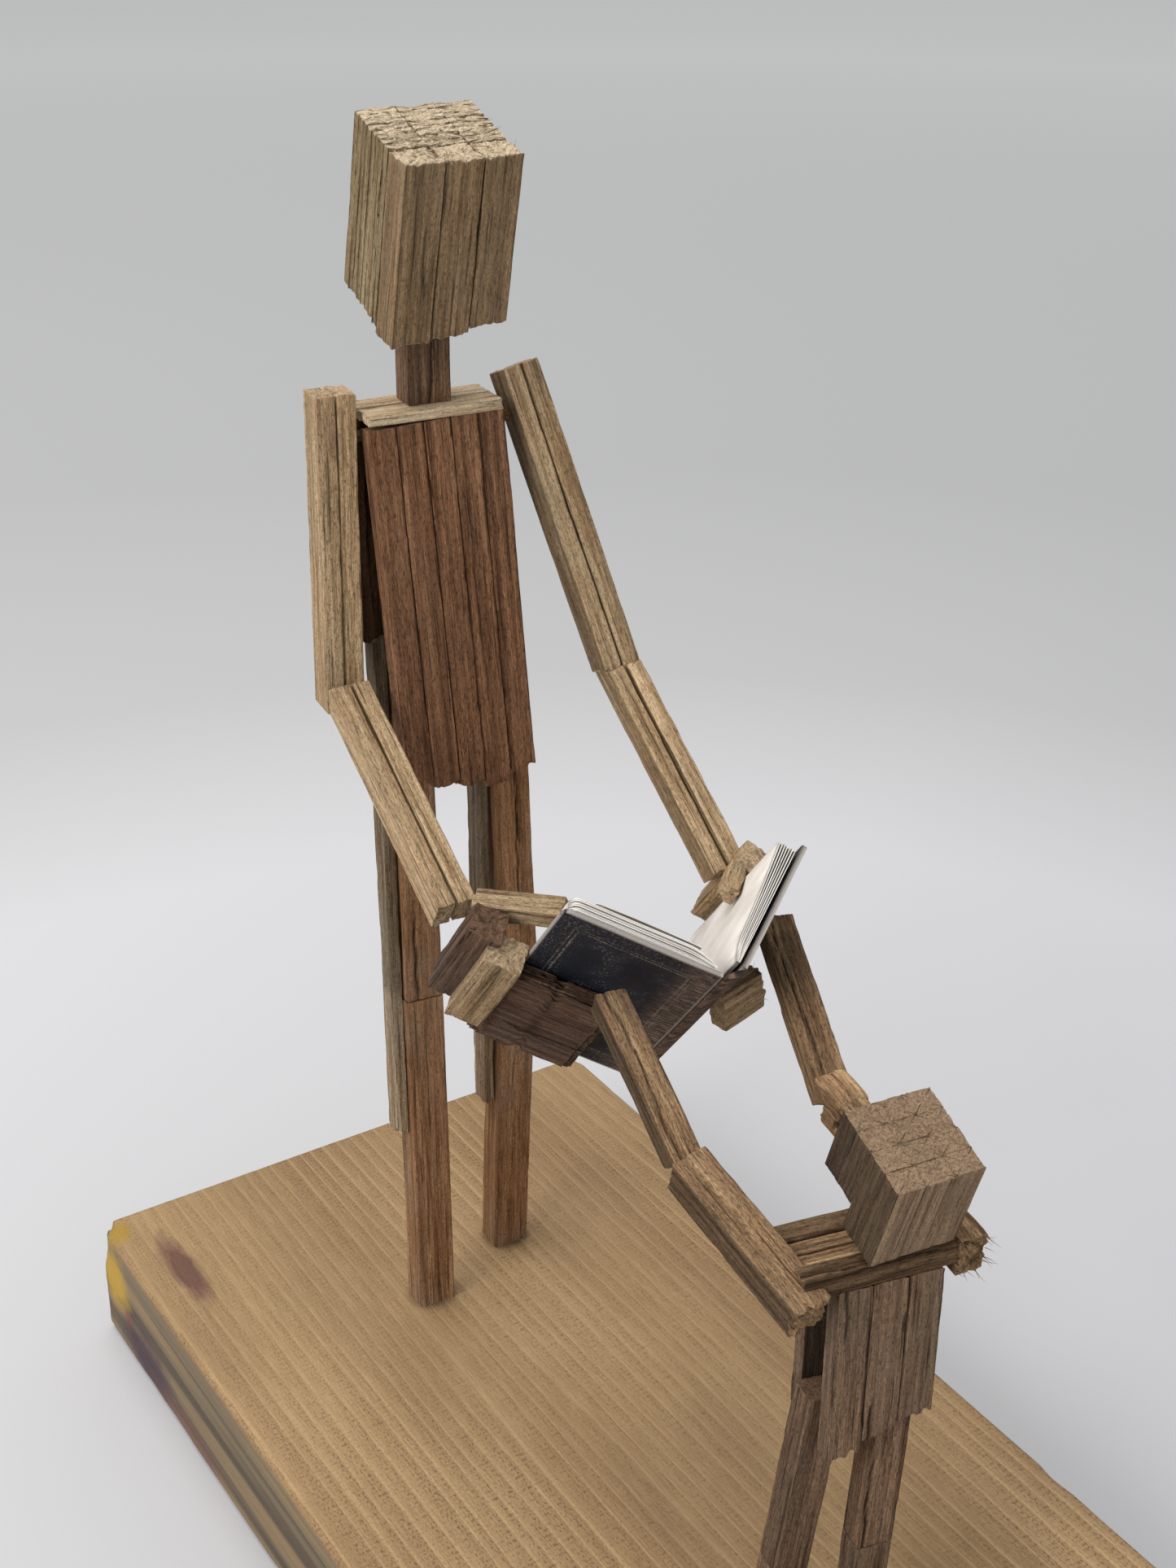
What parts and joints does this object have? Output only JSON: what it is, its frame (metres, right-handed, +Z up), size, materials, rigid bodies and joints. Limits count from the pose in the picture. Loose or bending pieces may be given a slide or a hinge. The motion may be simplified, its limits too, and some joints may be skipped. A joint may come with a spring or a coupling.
{
  "type": "stick figure tableau",
  "caption": "Craft stick figures on a plank: the taller bows over an open book while the smaller reaches up to hold its covers. Heads, arms and a leaf turn.",
  "frame": {"origin": "centre of the plank's underside", "axes": "+Z up, +Y along the plank from the small figure towards the tall one, +X to the tall figure's left hand"},
  "size_m": [0.09, 0.18, 0.1944],
  "materials": {
    "pine_plank": "satin pine board",
    "leg_wood": "dry weathered wood",
    "splint_wood": "dry weathered wood",
    "dark_weathered_wood": "dark cracked wood",
    "shoulder_bar_wood": "split pale wood",
    "neck_wood": "dry weathered wood",
    "head_face_wood": "dry weathered wood",
    "head_rear_wood": "dry weathered wood",
    "pale_arm_wood": "pale split wood",
    "dark_hand_wood": "dark cracked wood",
    "small_figure_wood": "grey-brown weathered wood",
    "small_head_wood": "grey-brown weathered wood",
    "small_arm_wood": "grey-brown weathered wood",
    "book_cover_board": "dark board, worn",
    "book_paper": "matt paper",
    "dowel_wood": "whittled dowel"
  },
  "bodies": {
    "base_and_torsos": {"base_plank": "pine_plank", "small_back_slat_1": "small_figure_wood", "small_back_slat_2": "small_figure_wood", "small_back_slat_3": "small_figure_wood", "small_front_board": "small_figure_wood", "small_left_shin": "small_figure_wood", "small_left_thigh": "small_figure_wood", "small_neck": "small_figure_wood", "small_right_shin": "small_figure_wood", "small_right_thigh": "small_figure_wood", "small_shoulder_bar": "shoulder_bar_wood", "tall_back_board": "dark_weathered_wood", "tall_chest_slat_1": "dark_weathered_wood", "tall_chest_slat_2": "dark_weathered_wood", "tall_chest_slat_3": "dark_weathered_wood", "tall_chest_slat_4": "dark_weathered_wood", "tall_chest_slat_5": "dark_weathered_wood", "tall_left_shin": "leg_wood", "tall_left_splint": "splint_wood", "tall_left_thigh": "leg_wood", "tall_neck": "neck_wood", "tall_right_shin": "leg_wood", "tall_right_splint": "splint_wood", "tall_right_thigh": "leg_wood", "tall_shoulder_bar_back": "shoulder_bar_wood", "tall_shoulder_bar_front": "shoulder_bar_wood", "tall_shoulder_dowel": "dowel_wood"},
    "tall_arms_and_book": {"book_far_cover": "book_cover_board", "book_far_pages": "book_paper", "book_near_cover": "book_cover_board", "book_near_pages": "book_paper", "book_spine": "book_cover_board", "tall_left_fingers": "pale_arm_wood", "tall_left_forearm_inner": "pale_arm_wood", "tall_left_forearm_outer": "pale_arm_wood", "tall_left_palm": "pale_arm_wood", "tall_left_thumb": "pale_arm_wood", "tall_left_upper_arm_inner": "pale_arm_wood", "tall_left_upper_arm_outer": "pale_arm_wood", "tall_right_fingers": "dark_hand_wood", "tall_right_forearm_inner": "pale_arm_wood", "tall_right_forearm_outer": "pale_arm_wood", "tall_right_hand_back": "dark_hand_wood", "tall_right_palm": "pale_arm_wood", "tall_right_thumb": "pale_arm_wood", "tall_right_upper_arm_inner": "pale_arm_wood", "tall_right_upper_arm_outer": "pale_arm_wood"},
    "loose_leaf": {"book_loose_leaf": "book_paper"},
    "tall_head": {"tall_head_face_left": "head_face_wood", "tall_head_face_middle": "head_face_wood", "tall_head_face_right": "head_face_wood", "tall_head_rear_block": "head_rear_wood"},
    "small_head": {"small_head_front_half": "small_head_wood", "small_head_rear_half": "small_head_wood"},
    "small_left_arm": {"small_left_forearm": "small_arm_wood", "small_left_upper_arm": "small_arm_wood"},
    "small_right_arm": {"small_right_forearm": "small_arm_wood", "small_right_upper_arm": "small_arm_wood"}
  },
  "joints": [
    {"name": "tall_arms_swing", "type": "hinge", "parent": "base_and_torsos", "child": "tall_arms_and_book", "pos_m": [-0.005, 0.0486, 0.1553], "axis": [0.9945, -0.1045, 0], "range_deg": [0, 18]},
    {"name": "leaf_turn", "type": "hinge", "parent": "tall_arms_and_book", "child": "loose_leaf", "pos_m": [-0.00082, 0.00092, 0.09495], "axis": [0, 0.6157, -0.788], "range_deg": [0, 65]},
    {"name": "tall_head_turn", "type": "hinge", "parent": "base_and_torsos", "child": "tall_head", "pos_m": [-0.00444, 0.04865, 0.169], "axis": [0, 0, 1], "range_deg": [-40, 40]},
    {"name": "small_head_turn", "type": "hinge", "parent": "base_and_torsos", "child": "small_head", "pos_m": [-0.00084, -0.04282, 0.09077], "axis": [-0.0377, -0.3067, 0.9511], "range_deg": [-40, 40]},
    {"name": "small_left_arm_swing", "type": "hinge", "parent": "base_and_torsos", "child": "small_left_arm", "pos_m": [-0.00184, -0.04237, 0.0866], "axis": [0.9781, -0.2079, 0], "range_deg": [-25, 0]},
    {"name": "small_right_arm_swing", "type": "hinge", "parent": "base_and_torsos", "child": "small_right_arm", "pos_m": [-0.00184, -0.04237, 0.0866], "axis": [0.9781, -0.2079, 0], "range_deg": [-25, 0]}
  ]
}
